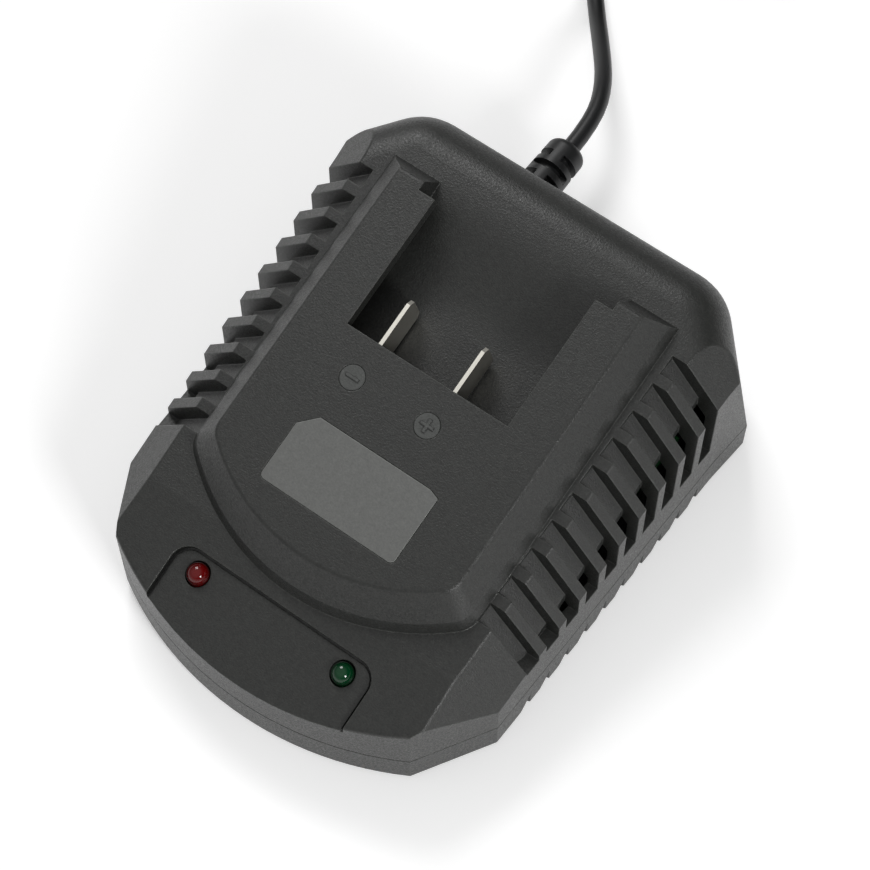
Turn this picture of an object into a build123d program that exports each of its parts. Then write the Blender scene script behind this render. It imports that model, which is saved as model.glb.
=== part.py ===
"""Slide-on battery charger for cordless tools: wedge-shaped housing, tilted docking deck, mains lead.

Frame: origin on the resting plane, under the middle of the housing. +Z up, +Y to the lead, +X right.
All sizes are millimetres and degrees.
"""
import math
import os

from build123d import *

# ---------------------------------------------------------------- housing
housing_length = 128.0          # front of the bowed nose to the foot of the rear wall
nose_radius = 76.0              # plan radius of the bowed front
nose_half_width = 37.7          # where the bowed front ends
cheek_x, cheek_y = 47.9, 26.6   # front end of the straight side: x, and distance behind the nose
side_x, side_rear = 50.3, 24.4  # rear end of the straight side: x, and distance ahead of the rear wall
hip_x, hip_rear = 51.3, 12.6    # rear corner
tail_x = 40.6                   # where the rear corner's slanted wall meets the rear wall
rear_lean = 10.0                # the rear wall leans forward by this angle
rear_corner_radius = 14.0       # rounding between the slanted wall and the rear wall
wall = 2.6
parting_height = 10.7           # top of the lower housing above the resting plane
foot_height = 1.5
base_chamfer = 0.8
seam_height = 0.35              # shadow line between the two shells
seam_depth = 0.4
tongue_height = 1.2
tongue_thickness = 1.1
fit_gap = 0.1                   # clearance between pieces that are pushed together
slip_gap = 0.2                  # clearance round pieces that drop into holes
overlap = 0.1                   # what is joined into one solid runs together by this much
past = 1.0                      # a cut runs past a surface by this much

# ---------------------------------------------------------------- tilted docking deck
deck_tilt = 15.0
deck_height = 50.0              # deck surface above the resting plane at the terminal wall
terminal_wall_y = 67.6          # terminal wall behind the nose, along the ground
shelf_drop = 8.5                # shelf round the dock, below the deck
nose_fall = 4.0                 # extra slope of the shelf ahead of the dock, degrees
nose_fall_y = -48.0             # where that slope starts
ridge_x = 40.4                  # edge between shelf and sloped flank, level with the terminal wall
flank_splay = 1.9               # the flanks spread to the rear by this angle
flank_slope = 48.7              # slope of the flank below the shelf
brow_radius = 10.0              # rounding between the shelf and the rear wall
ridge_radius = 0.9              # rounding of the long edges outside

dock_half_width = 30.4
dock_rear = 33.6
dock_nose = 44.6
dock_nose_radius = 46.0
dock_corner_radius = 4.5
skirt_break_depth, skirt_break_out = 5.6, 4.2
skirt_foot_out = 5.5
skirt_nose_out, skirt_break_nose_out = 1.9, 1.52    # extra spread at the nose: at the shelf, and at the break
skirt_root = 4.0                # the skirt runs this far into the shelf
skirt_rear_out = 3.5            # spread of the skirt's rear faces at the shelf
bay_half_width = 20.1
bay_undercut_x = 24.2
bay_depth = 12.5
bay_flat = 14.0                 # flat part of the bay floor behind the terminal wall
bay_ramp_end = 39.0             # where the rising floor reaches the shelf
rail_thickness = 3.0
rail_rear = 31.5

# ---------------------------------------------------------------- cooling slots
slot_count = 10
slot_pitch = 6.7
slot_width = 4.35
last_slot_rear = 27.5           # rear wall of the rearmost slot, ahead of the rear wall's foot
slot_inner_x = 36.9
slot_depth = 3.5
slot_wall = 2.0                 # wall below the slots' floor
slot_mouth_x = 45.2
slot_sill = 21.0                # bottom of the slots above the resting plane
flute_length = 6.2               # slanted face of each flute, along the side
flute_depth = 1.9               # step at its rear end, at the base
flute_height = 5.4
flute_margin = 0.6

# ---------------------------------------------------------------- front panel, label and polarity badges
panel_half_width = 25.3
panel_rear = -54.7
panel_corner = 4.5
panel_depth = 1.2
panel_groove_width, panel_groove_depth = 0.6, 0.6     # shadow groove round the panel
led_diameter = 5.0
led_x = 18.6
led_deck_y = -58.8
led_flange, led_flange_height = 0.4, 1.0
led_leg_width, led_leg_out = 0.5, 1.27
led_proud = 1.2
label_left, label_right = -16.7, 16.9
label_front, label_rear = -36.0, -19.2
label_cut = 3.6                 # deep corner cut, at the left rear
label_small_cut, label_small_fall = 2.4, 0.8
label_corner = 1.2
label_thickness = 0.5
label_proud = 0.05
badge_radius = 2.75
badge_y = -8.8
badge_thickness = 0.8
mark_height = 0.25
mark_width = 0.7
mark_length = 3.2

# ---------------------------------------------------------------- terminals
blade_thickness = 0.85
blade_reach = 11.8
blade_top, blade_bottom = 2.6, 11.6     # below the deck
blade_bevel = 1.2
negative_x, positive_x = -12.5, 6.3
terminal_block_depth = 9.0
terminal_margin = 4.5
blade_inset = 2.0               # the blade ends this far ahead of the block's rear
block_foot = 1.4                # the block reaches this far below the blades
blade_tail = 4.0
blade_tail_width = 3.0

# ---------------------------------------------------------------- circuit board and its parts
board_top = 17.6
board_thickness = 1.6
board_side_gap = 0.6            # between the board and the shell beside it
board_front, board_rear_gap = 30.0, 27.0    # wide part: behind the nose, and ahead of the rear wall
board_tongue_half = 24.0
board_tongue_front = 10.0
board_screw_in = 4.0            # from the board's side edge
board_screw_front, board_screw_rear = 35.5, 5.0     # from the nose, and from the board's rear edge
board_post_radius = 3.2
post_floor = 1.0                # a screw post's hole ends this far above the floor
screw_core = 1.25
screw_head_radius = 2.6
screw_head_height = 1.8
board_screw_length = 8.0
screw_drive_width = 0.6
screw_head_round = 0.4          # rounding of a screw's head, as a share of its height

# ---------------------------------------------------------------- housing screws and feet
boss_radius = 4.0
rear_boss_x, rear_boss_gap = 36.5, 15.0        # ahead of the rear wall
front_boss_x, front_boss_y = 32.5, 19.5
housing_screw_radius = 1.75
housing_screw_length = 16.0
housing_head_radius = 3.0
housing_head_height = 2.0
housing_head_sunk = 1.2
foot_radius = 5.0
foot_pocket = 0.8
foot_edge = 0.5
foot_x, foot_front_y, foot_rear_gap = 30.0, 32.0, 28.0

# ---------------------------------------------------------------- mains lead
lead_x = -18.7
lead_height = 16.2              # axis of the lead where it leaves the housing, above the resting plane
cord_diameter = 4.2
boot_radius = 5.1               # at the rear wall
boot_shoulder_radius = 4.7
boot_length = 20.1
boot_round = 1.8                # rounding of the boot's end
boot_neck = 1.2
boot_flange = 0.4
boot_flange_thickness = 2.4
boot_rows = 4                   # rows of slots that let the boot bend
boot_slot_width = 1.8
boot_rib = 1.5
boot_first_slot = 2.6           # behind the shoulder
boot_bridge = 2.7               # width of the bridges across a row of slots
boot_core = 1.1                 # thickness left round the lead
boot_neck_inside = 2.2          # the neck reaches this far past the wall
boot_stand_off = 0.4            # between the wall's foot and the boot's rim
gland_inside, gland_outside = 14.0, 6.0     # the gap in the wall runs from here to here, from the wall's foot
cord_gap = 0.05                 # between the lead and the boot round it
clamp_ahead = 16.0              # middle of the clamp, ahead of the rear wall's foot
clamp_below = 0.6               # the clamp's seat lies this far below the lead's axis
clamp_post_radius = 3.0
clamp_screw_out = 7.7
clamp_width = 7.0
clamp_thickness = 2.2
clamp_gap = 0.02
coil_radius = 25.0              # middle of the turns
coil_turns_across = 4
coil_turns_high = 3
coil_pitch = 4.25
coil_lift = 0.05
coil_edge = 1.0                 # rounding of the bundle's section
coil_skin = 0.1                 # the bundle is this much wider than its turns, on each side
coil_entry, coil_exit = 218.3, 90.0     # angles where the lead joins and leaves the clockwise coil
tie_angle = 330.0
tie_width = 9.0
tie_thickness = 1.0
plug_lead_length = 21.0         # straight lead between coil and plug
plug_length = 34.0
plug_width = 26.0
plug_thickness = 13.6
plug_tail, plug_tail_wall = 10.0, 0.6       # round end of the plug, and its thickness over the lead
plug_tail_spread = 0.9          # the round end widens by this much
plug_shoulder, plug_taper = 6.0, 8.0        # length of the sloping sides: seen from above, and from the side
plug_shoulder_in = 4.0
plug_edge = 1.2
plug_pin_radius = 2.0
plug_pin_length = 19.0
plug_pin_seat = 7.0             # the pins reach this far into the plug
plug_pin_spacing = 18.8
plug_pin_round = 0.9

# ================================================================ derived places
board_rear = housing_length - board_rear_gap
big = 400.0
sky = 2 * deck_height           # above everything
nose_y = -housing_length / 2
rear_y = housing_length / 2
board_bottom = board_top - board_thickness
lead_z = lead_height
cord_radius = cord_diameter / 2
floor_top = foot_height + wall
screw_seat = foot_height + housing_head_sunk + housing_head_height
clamp_y = rear_y - clamp_ahead
clamp_seat = lead_z - clamp_below
tilt = math.radians(deck_tilt)
deck = Location((0, nose_y + terminal_wall_y, deck_height), (deck_tilt, 0, 0))


def behind_nose(distance):
    """Y of a point that lies this far behind the nose."""
    return nose_y + distance


def deck_point(x, y, z):
    """A point given on the deck, as a point of the part."""
    return (x,
            behind_nose(terminal_wall_y) + y * math.cos(tilt) - z * math.sin(tilt),
            deck_height + y * math.sin(tilt) + z * math.cos(tilt))


def above(origin, normal):
    """The space on the outer side of a plane."""
    return Plane(origin=origin, z_dir=normal).location * Pos(0, 0, big / 2) * Box(big, big, big)


def both_sides(solid):
    """A solid and its mirror image across the middle."""
    return solid + mirror(solid, about=Plane.YZ)


def box_between(low, high):
    """A box given by its lowest and highest corners."""
    size = [b - a for a, b in zip(low, high)]
    centre = [(a + b) / 2 for a, b in zip(low, high)]
    return Pos(*centre) * Box(*size)


def rod(radius, low, high, x=0.0, y=0.0):
    """An upright cylinder from one height to another."""
    return Pos(x, y, (low + high) / 2) * Cylinder(radius, high - low)


# ================================================================ housing outline
def plan_face(inset=0.0):
    """Plan of the housing at the parting line."""
    nose_end_y = nose_y + nose_radius - math.sqrt(nose_radius ** 2 - nose_half_width ** 2)
    right = [(nose_half_width, nose_end_y), (cheek_x, behind_nose(cheek_y)),
             (side_x, rear_y - side_rear), (hip_x, rear_y - hip_rear), (tail_x, rear_y)]
    left = [(-x, y) for x, y in reversed(right)]
    nose = ThreePointArc(left[-1], (0, nose_y), right[0])
    face = make_face(nose + Polyline(*(right + left)))
    face = fillet(face.vertices().filter_by(lambda vertex: vertex.Y > rear_y - 1), rear_corner_radius)
    if inset:
        face = offset(face, -inset, kind=Kind.INTERSECTION)
    return face


def leaning_rear(inset=0.0):
    """The space ahead of the rear wall and its slanted corners, which lean forward."""
    width, depth = hip_x - tail_x, hip_rear
    reach = math.hypot(width, depth)
    lean = math.radians(rear_lean)
    space = box_between((-big / 2, -big / 2, 0), (big / 2, big / 2, big / 2))
    for nx, ny in ((0, 1), (depth / reach, width / reach), (-depth / reach, width / reach)):
        normal = (nx * math.cos(lean), ny * math.cos(lean), math.sin(lean))
        foot = math.copysign(tail_x, nx) if nx else 0
        space -= above((foot - nx * inset, rear_y - ny * inset, parting_height), normal)
    corners = space.edges().filter_by(lambda edge: abs(edge.tangent_at(0.5).Z) > 0.8 and edge.center().Y > 0
                                      and abs(edge.center().X) < hip_x)
    return fillet(corners, rear_corner_radius - inset)


def behind_brow(inset):
    """The space beyond a slanted plane that lies one wall inside the rounded brow."""
    lean = math.radians(rear_lean)
    shelf = Vector(0, -math.sin(tilt), math.cos(tilt))
    rear = Vector(0, math.cos(lean), math.sin(lean))
    shelf_level = shelf.dot(Vector(*deck_point(0, 0, -shelf_drop))) - brow_radius
    rear_level = rear.dot(Vector(0, rear_y, parting_height)) - brow_radius
    turn = shelf.Y * rear.Z - shelf.Z * rear.Y
    axis = Vector(0, (shelf_level * rear.Z - rear_level * shelf.Z) / turn,
                  (rear_level * shelf.Y - shelf_level * rear.Y) / turn)
    outward = (shelf + rear).normalized()
    return above(axis + outward * (brow_radius - inset), outward)


def envelope(inset=0.0, flank_inset=0.0):
    """Outside of the upper housing without its dock, or the hollow inside it."""
    body = extrude(Pos(0, 0, parting_height) * plan_face(inset), sky)
    top = -shelf_drop - inset
    fall = math.radians(nose_fall)
    splay = math.radians(flank_splay)
    slope = math.radians(flank_slope)
    body -= deck * above((0, 0, top), (0, 0, 1))
    body -= deck * above((0, nose_fall_y, top), (0, -math.sin(fall), math.cos(fall)))
    flank_normal = Vector(math.cos(splay) * math.sin(slope), -math.sin(splay) * math.sin(slope),
                          math.cos(slope))
    flank_place = Vector(ridge_x, 0, -shelf_drop) - flank_normal * flank_inset
    body -= deck * both_sides(above(flank_place, flank_normal))
    body &= leaning_rear(inset)
    if inset:
        body -= behind_brow(inset)
    else:
        brow = body.edges().filter_by(lambda edge: edge.center().Z > deck_height and abs(edge.center().X) < 1
                                      and edge.center().Y > 0)
        body = fillet(brow, brow_radius)
        front = nose_y + wall
        shelf_edges = body.edges().filter_by(
            lambda edge: edge.length > dock_nose and abs(edge.center().X) < (ridge_x + cheek_x) / 2
            and edge.center().Z > parting_height
            and not (front < edge.center().Y and abs(edge.center().X) < 1))
        body = fillet(shelf_edges, ridge_radius)
    return body


def dock_outline(out, nose_extra, rear_extra, depth):
    """One level of the dock: straight sides, bowed nose and square rear."""
    half = dock_half_width + out
    apex = dock_nose + out + nose_extra
    radius = dock_nose_radius + out
    nose_end = -apex + radius - math.sqrt(radius ** 2 - half ** 2)
    rear = dock_rear + rear_extra
    front = ThreePointArc((-half, nose_end), (0, -apex), (half, nose_end))
    face = make_face(front + Polyline((half, nose_end), (half, rear), (-half, rear), (-half, nose_end)))
    corners = face.vertices().sort_by(Axis.Y)[:2]
    return Pos(0, 0, -depth) * fillet(corners, dock_corner_radius + out / 4)


def dock_block(inset=0.0):
    """The raised dock with its flared skirt."""
    foot_depth = shelf_drop + skirt_root
    spread = (skirt_foot_out - skirt_break_out) / (shelf_drop - skirt_break_depth)
    below = skirt_foot_out + skirt_root * spread
    levels = [dock_outline(-inset, 0, 0, inset),
              dock_outline(skirt_break_out - inset, skirt_break_nose_out,
                           skirt_rear_out * skirt_break_depth / shelf_drop, skirt_break_depth + inset),
              dock_outline(below - inset, skirt_nose_out, skirt_rear_out * foot_depth / shelf_drop,
                           foot_depth + inset)]
    block_solid = loft(levels, ruled=True)
    if not inset:
        block_solid = fillet(block_solid.faces().sort_by(Axis.Z)[-1].edges(), ridge_radius)
    return block_solid


def bay_cut():
    """Room for the battery's foot: a slot between two rails, with a floor that runs up to the rear."""
    wall_line = [(0, -rail_thickness), (0, -bay_depth), (bay_flat, -bay_depth)]
    ramp = Spline(wall_line[-1], (bay_ramp_end, -shelf_drop), tangents=[(1, 0), (1, 0)])
    closing = Polyline((bay_ramp_end, -shelf_drop), (bay_ramp_end, -rail_thickness), wall_line[0])
    profile = make_face(Polyline(*wall_line) + ramp + closing)
    channel = extrude(Plane.YZ * profile, bay_undercut_x, both=True)
    mouth = box_between((-bay_half_width, 0, -rail_thickness - past), (bay_half_width, bay_ramp_end, past))
    rail_end = box_between((-bay_undercut_x, rail_rear, -rail_thickness - past),
                           (bay_undercut_x, bay_ramp_end, past))
    return deck * (channel + mouth + rail_end)


def slot_cut():
    """All cooling slots of both sides: a groove down the flank that breaks through the side."""
    splay = math.radians(flank_splay)
    slope = math.radians(flank_slope)
    normal = Vector(math.cos(splay) * math.sin(slope), -math.sin(splay) * math.sin(slope), math.cos(slope))
    groove = deck * above(Vector(ridge_x, 0, -shelf_drop) - normal * slot_depth, normal)
    groove &= deck * above((slot_inner_x, 0, 0), (math.cos(splay), -math.sin(splay), 0))
    groove -= box_between((0, -big, -big), (big, big, slot_sill))
    mouth = box_between((slot_mouth_x, -big, slot_sill), (big, big, deck_height))
    slots = Part()
    for index in range(slot_count):
        rear = rear_y - last_slot_rear - index * slot_pitch
        slab = box_between((0, rear - slot_width, 0), (big / 4, rear, sky))
        slots += slab & groove
        slots += slab & mouth
    return both_sides(slots)


def panel_plan(inset=0.0):
    """Plan of the indicator panel in the deck's frame, running out past the front edge."""
    half, rear = panel_half_width - inset, panel_rear - inset
    face = make_face(Polyline((-half, -big / 4), (-half, rear), (half, rear), (half, -big / 4), close=True))
    return fillet(face.vertices().sort_by(Axis.Y)[2:], panel_corner - inset)


def below_shelf(depth):
    """The space above a plane that lies this deep under the falling front of the shelf."""
    fall = math.radians(nose_fall)
    return above((0, nose_fall_y, -shelf_drop - depth), (0, -math.sin(fall), math.cos(fall)))


def panel_cut():
    """Shallow recess for the indicator panel, open to the front edge, with a shadow groove round it."""
    groove = extrude(panel_plan() - panel_plan(panel_groove_width), big / 4, both=True)
    return deck * (extrude(panel_plan(), big / 4, both=True) & below_shelf(panel_depth)
                   + groove & below_shelf(panel_depth + panel_groove_depth))


def hollow_half_width(height, distance):
    """Half the width of the hollow at this height, this far behind the nose, to its flank or side wall."""
    slope, splay = math.radians(flank_slope), math.radians(flank_splay)
    across, along, up = math.cos(splay) * math.sin(slope), -math.sin(splay) * math.sin(slope), math.cos(slope)
    behind, above_deck = distance - terminal_wall_y, height - deck_height
    deck_y = behind * math.cos(tilt) + above_deck * math.sin(tilt)
    deck_z = above_deck * math.cos(tilt) - behind * math.sin(tilt)
    flank = ridge_x + (-(slot_depth + slot_wall) - along * deck_y - up * (deck_z + shelf_drop)) / across
    return min(flank, cheek_x - wall)


def board_half_width():
    """Half the width of the board's wide part."""
    return hollow_half_width(board_top, board_front) - board_side_gap


def led_place(side):
    """Plan position of an indicator."""
    x, y, _ = deck_point(side * led_x, led_deck_y, -shelf_drop - panel_depth)
    return x, y


def boss_places():
    """Plan positions of the four housing screws."""
    return [(side * x, behind_nose(y)) for side in (-1, 1)
            for x, y in ((front_boss_x, front_boss_y), (rear_boss_x, housing_length - rear_boss_gap))]


def gland_opening():
    """U-shaped gap in the rear wall that grips the neck of the strain relief."""
    radius = boot_radius - boot_neck + slip_gap
    axis = Pos(lead_x, rear_y + (gland_outside - gland_inside) / 2, lead_z) * Rot(90, 0, 0)
    return (axis * Cylinder(radius, gland_inside + gland_outside)
            + box_between((lead_x - radius, rear_y - gland_inside, parting_height - overlap),
                          (lead_x + radius, rear_y + gland_outside, lead_z)))


def make_upper_housing():
    """Top shell: dock, bay, cooling slots, indicator panel and screw bosses."""
    outside = envelope() + deck * dock_block() & (leaning_rear() & extrude(plan_face(), sky))
    guard = deck * box_between((-bay_undercut_x - wall, -wall, -bay_depth - wall),
                               (bay_undercut_x + wall, big / 4, big / 4))
    hollow = envelope(wall, slot_depth + slot_wall) + (deck * dock_block(wall) & envelope_column(wall))
    hollow -= guard
    for x, y in boss_places():
        hollow -= rod(boss_radius, parting_height, sky, x, y)
    shell = outside - hollow - bay_cut() - slot_cut() - panel_cut() - gland_opening()
    rebate = extrude(Pos(0, 0, parting_height - overlap) * plan_face(wall - tongue_thickness - fit_gap),
                     tongue_height + fit_gap + overlap)
    for x, y in boss_places():
        rebate -= rod(boss_radius, 0, sky, x, y)
    shell -= rebate
    shell -= extrude(Pos(0, 0, parting_height - seam_height) * (plan_face(-past) - plan_face(seam_depth)),
                     seam_height * 2)
    for side in (-1, 1):
        x, y = led_place(side)
        shell -= rod(led_diameter / 2 + slip_gap, parting_height, sky, x, y)
        shell -= rod(led_diameter / 2 + led_flange + slip_gap, parting_height,
                     board_top + led_flange_height + slip_gap, x, y)
    for x, y in boss_places():
        shell -= rod(housing_screw_radius, 0, screw_seat + housing_screw_length + past, x, y)
    for x, y, _ in badge_places():
        shell -= deck * Pos(x, y, 0) * Cylinder(badge_radius + fit_gap, badge_thickness * 2)
    shell -= deck * Pos(0, 0, -label_thickness) * extrude(label_face(fit_gap), label_thickness + past)
    for x in (negative_x, positive_x):
        half = blade_thickness / 2 + fit_gap
        shell -= deck * box_between((x - half, -wall - past, -blade_bottom - fit_gap),
                                    (x + half, past, -blade_top + fit_gap))
    return shell


def envelope_column(inset):
    """The upright column inside the plan outline and the leaning rear."""
    return extrude(Pos(0, 0, parting_height) * plan_face(inset), sky) & leaning_rear(inset)


def badge_places():
    """Deck positions of the polarity badges, with the mark that each one carries."""
    return [(negative_x, badge_y, "minus"), (positive_x, badge_y, "plus")]


def label_face(grow=0.0):
    """Outline of the label: one deep and one small corner cut, two rounded corners."""
    points = [(label_left, label_front), (label_right, label_front),
              (label_right, label_rear - label_small_fall), (label_right - label_small_cut, label_rear),
              (label_left + label_cut, label_rear), (label_left, label_rear - label_cut)]
    face = make_face(Polyline(*points, close=True))
    face = fillet(face.vertices().sort_by(Axis.Y)[:2], label_corner)
    if grow:
        face = offset(face, grow)
    return face


# ================================================================ lower housing
def flutes():
    """Saw-tooth flutes in the sides of the lower housing: one under each cooling slot, fading out upwards."""
    cuts = Part()
    for index in range(slot_count):
        y = rear_y - last_slot_rear - index * slot_pitch - slot_width / 2
        along = (y - behind_nose(cheek_y)) / (housing_length - side_rear - cheek_y)
        x = cheek_x + (side_x - cheek_x) * along
        mouth = Plane.XY.offset(foot_height - flute_margin) * make_face(Polyline(
            (x + flute_margin, y - flute_length), (x + flute_margin, y), (x - flute_depth, y), close=True))
        tip = Plane.XY.offset(foot_height + flute_height) * make_face(Polyline(
            (x + flute_margin, y - flute_margin), (x + flute_margin, y), (x, y), close=True))
        cuts += loft([mouth, tip], ruled=True)
    return both_sides(cuts)


def make_lower_housing():
    """Bottom shell: floor, rim tongue, board posts and screw tubes."""
    outside = extrude(Pos(0, 0, foot_height) * plan_face(), parting_height - foot_height)
    outside = chamfer(outside.faces().sort_by(Axis.Z)[0].edges(), base_chamfer)
    inside = extrude(Pos(0, 0, floor_top) * plan_face(wall), parting_height)
    tray = outside - inside
    tongue_top = parting_height + tongue_height
    tray += (extrude(Pos(0, 0, floor_top) * plan_face(wall - tongue_thickness), tongue_top - floor_top)
             - extrude(Pos(0, 0, floor_top) * plan_face(wall), parting_height))
    tray -= flutes()
    tray -= gland_opening() & box_between((-big, -big, parting_height), (big, big, big))
    for x, y in board_screw_places():
        tray += rod(board_post_radius, floor_top - overlap, board_bottom, x, y)
        tray -= rod(screw_core, floor_top + post_floor, board_bottom + past, x, y)
    for x, y in boss_places():
        tray += rod(boss_radius, floor_top - overlap, parting_height, x, y)
        tray -= rod(housing_screw_radius + slip_gap, 0, parting_height + past, x, y)
        tray -= rod(housing_head_radius + slip_gap, 0, screw_seat, x, y)
    for x, y in foot_places():
        tray -= rod(foot_radius + fit_gap, 0, foot_height + foot_pocket, x, y)
    for x, y in clamp_screw_places():
        tray += rod(clamp_post_radius, floor_top - overlap, clamp_seat, x, y)
        tray -= rod(screw_core, floor_top + post_floor, clamp_seat + past, x, y)
    return tray


def board_screw_places():
    """Plan positions of the four board screws."""
    x = board_half_width() - board_screw_in
    return [(side * x, behind_nose(y)) for side in (-1, 1)
            for y in (board_screw_front, board_rear - board_screw_rear)]


def foot_places():
    """Plan positions of the four feet."""
    return [(side * foot_x, behind_nose(y)) for side in (-1, 1)
            for y in (foot_front_y, housing_length - foot_rear_gap)]


def pan_screw(x, y, seat, core, length, head_radius, head_height, up=1):
    """A screw that stands on its seat: up = 1 for a head on top, -1 for a head below."""
    head = Pos(x, y, seat + up * head_height / 2) * Cylinder(head_radius, head_height)
    rim = head.faces().sort_by(Axis.Z)[-1 if up > 0 else 0].edges()
    head = fillet(rim, head_height * screw_head_round)
    slot = Box(head_radius, screw_drive_width, head_height)
    drive = Pos(x, y, seat + up * head_height) * (slot + Rot(0, 0, 90) * slot)
    shaft = Pos(x, y, seat - up * length / 2) * Cylinder(core, length)
    return head + shaft - drive


# ================================================================ strain relief and clamp
def make_strain_relief():
    """Tapered boot that is gripped in the rear wall, with rows of slots turned against each other."""
    tip = rear_y + boot_length
    shoulder = tip - boot_round
    neck_front = rear_y - wall - boot_neck_inside
    neck = boot_radius - boot_neck
    flange = boot_radius + boot_flange
    grip = rear_y + boot_stand_off
    start = neck_front - boot_flange_thickness
    edge = [(0, start), (flange, start), (flange, neck_front), (neck, neck_front), (neck, grip),
            (boot_radius, grip), (boot_shoulder_radius, shoulder)]
    inner = boot_shoulder_radius - boot_round
    middle = (inner + boot_round * math.sin(math.pi / 4), shoulder + boot_round * math.sin(math.pi / 4))
    rounding = ThreePointArc(edge[-1], middle, (inner, tip))
    outline = Polyline(*edge) + rounding + Polyline((inner, tip), (0, tip), edge[0])
    body = Pos(lead_x, 0, lead_z) * revolve(Plane.XY * make_face(outline), Axis.Y)
    for row in range(boot_rows):
        y = shoulder - boot_first_slot - boot_slot_width / 2 - row * (boot_slot_width + boot_rib)
        place = Pos(lead_x, y, lead_z) * Rot(90, 0, 0)
        ring = Cylinder(boot_radius + past, boot_slot_width)
        ring -= Cylinder(cord_radius + boot_core, boot_slot_width)
        ring -= Rot(0, 0, 90 * (row % 2)) * Box(boot_bridge, big / 4, boot_slot_width)
        body -= place * ring
    body -= Pos(lead_x, rear_y, lead_z) * Rot(90, 0, 0) * Cylinder(cord_radius + cord_gap, big / 4)
    return body


def make_cord_tail():
    """The lead's end inside the housing, through the boot and under the clamp."""
    start = clamp_y - clamp_width
    end = rear_y + boot_length
    return Pos(lead_x, (start + end) / 2, lead_z) * Rot(90, 0, 0) * Cylinder(cord_radius, end - start)


def make_cord_clamp():
    """Saddle that holds the lead down on two posts."""
    half = clamp_screw_out + clamp_post_radius
    plate = box_between((lead_x - half, clamp_y - clamp_width / 2, clamp_seat),
                        (lead_x + half, clamp_y + clamp_width / 2, clamp_seat + clamp_thickness))
    axis = Pos(lead_x, clamp_y, lead_z) * Rot(90, 0, 0)
    arch = axis * Cylinder(cord_radius + clamp_thickness, clamp_width)
    arch &= box_between((-big, -big, clamp_seat), (big, big, big))
    saddle = plate + arch - axis * Cylinder(cord_radius + clamp_gap, big / 4)
    for x, y in clamp_screw_places():
        saddle -= rod(screw_core + fit_gap, 0, sky, x, y)
    return saddle


# ================================================================ indicators and terminals
def make_led(side):
    """Five-millimetre indicator lamp that stands on the board, with two legs."""
    x, y = led_place(side)
    fall = (nose_fall_y - led_deck_y) * math.sin(math.radians(nose_fall))
    panel_z = deck_point(0, led_deck_y, -shelf_drop - panel_depth)[2] - fall
    top = panel_z + led_proud + led_diameter / 4
    radius = led_diameter / 2
    lamp = rod(radius, board_top, top - radius, x, y) + Pos(x, y, top - radius) * Sphere(radius)
    lamp += rod(radius + led_flange, board_top, board_top + led_flange_height, x, y)
    half = led_leg_width / 2
    for leg in (-1, 1):
        lamp += box_between((x + leg * led_leg_out - half, y - half, board_bottom - pin_reach),
                            (x + leg * led_leg_out + half, y + half, board_top + overlap))
    return lamp


def blade_front():
    """Deck position of the blades' front end, inside the terminal block."""
    return blade_inset - wall - terminal_block_depth


def make_blade(x):
    """Contact blade: an upright plate with bevelled tip and a solder tail behind the wall."""
    front = blade_front()
    outline = [(front, -blade_top), (blade_reach - blade_bevel, -blade_top),
               (blade_reach, -blade_top - blade_bevel), (blade_reach, -blade_bottom + blade_bevel),
               (blade_reach - blade_bevel, -blade_bottom), (front + blade_tail_width, -blade_bottom),
               (front + blade_tail_width, -blade_bottom - blade_tail), (front, -blade_bottom - blade_tail)]
    plate = extrude(Plane.YZ * make_face(Polyline(*outline, close=True)), blade_thickness / 2, both=True)
    return deck * Pos(x, 0, 0) * plate


def make_terminal_block():
    """Insulating block behind the terminal wall that holds both blades."""
    low = (negative_x - terminal_margin, -wall - terminal_block_depth, -blade_bottom - block_foot)
    high = (positive_x + terminal_margin, -wall, -blade_top)
    block = deck * box_between(low, high)
    for x in (negative_x, positive_x):
        half = blade_thickness / 2
        block -= deck * box_between((x - half, blade_front() - fit_gap, -blade_bottom - block_foot - past),
                                    (x + half, past, -blade_top + past))
    return block


# ================================================================ circuit board
def make_board():
    """Circuit board with a narrow tongue for the indicators."""
    half = board_half_width()
    right = [(board_tongue_half, board_tongue_front), (board_tongue_half, board_front), (half, board_front),
             (half, board_rear)]
    left = [(-x, y) for x, y in reversed(right)]
    face = make_face(Polyline(*[(x, behind_nose(y)) for x, y in right + left], close=True))
    board = extrude(Pos(0, 0, board_bottom) * face, board_thickness)
    for x, y in board_screw_places():
        board -= rod(screw_core + fit_gap, 0, deck_height, x, y)
    for part in (make_led(-1), make_led(1), make_bridge_rectifier(), make_transformer_winding(),
                 make_switching_transistor()):
        board -= part
    return board


def standing(radius, height, x, y):
    """A round part that stands on the board."""
    return rod(radius, board_top, board_top + height, x, behind_nose(y))


def block(width, depth, height, x, y, base=0.0):
    """A square part that stands on the board."""
    return box_between((x - width / 2, behind_nose(y) - depth / 2, board_top + base),
                       (x + width / 2, behind_nose(y) + depth / 2, board_top + base + height))


def headroom(distance):
    """Room between the board and the underside of the bay, this far behind the nose."""
    rise = (distance - terminal_wall_y) * math.tan(tilt)
    return deck_height + rise - (bay_depth + wall) / math.cos(tilt) - board_top


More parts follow.
